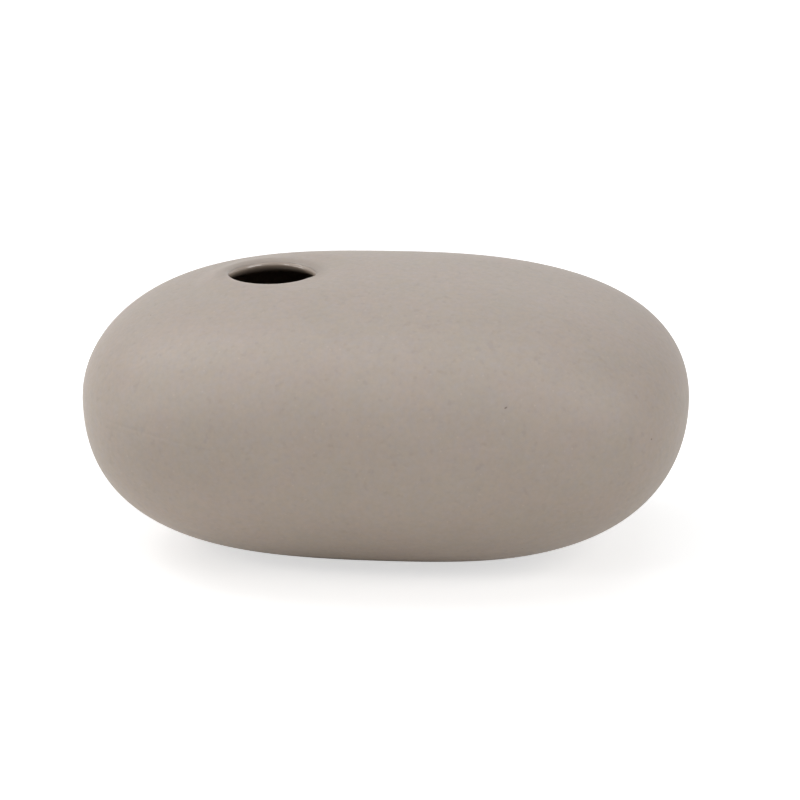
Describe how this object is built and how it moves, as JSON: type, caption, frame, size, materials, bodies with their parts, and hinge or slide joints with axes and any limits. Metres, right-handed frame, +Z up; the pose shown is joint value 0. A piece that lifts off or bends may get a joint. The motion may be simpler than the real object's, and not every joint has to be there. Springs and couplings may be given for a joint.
{
  "type": "pillow vase",
  "caption": "Hollow pebble-shaped stoneware vase with a small round mouth set off-centre in its top and a flat foot ring on thin soft pads.",
  "frame": {"origin": "under the middle of the vase's length and depth, on the surface that it stands on", "axes": "+Z up, +X along the length towards the end away from the mouth, the front towards -Y"},
  "size_m": [0.24, 0.16, 0.1158],
  "materials": {
    "stoneware": "matte",
    "matte_glaze": "matte",
    "gloss_glaze": "gloss",
    "base_pad": "matte"
  },
  "bodies": {
    "root": {"upper_shell": "stoneware", "lower_shell": "stoneware", "matte_outer_glaze": "matte_glaze", "gloss_inner_glaze": "gloss_glaze", "base_pad_front_left": "base_pad", "base_pad_front_right": "base_pad", "base_pad_rear_left": "base_pad", "base_pad_rear_right": "base_pad"}
  },
  "joints": []
}
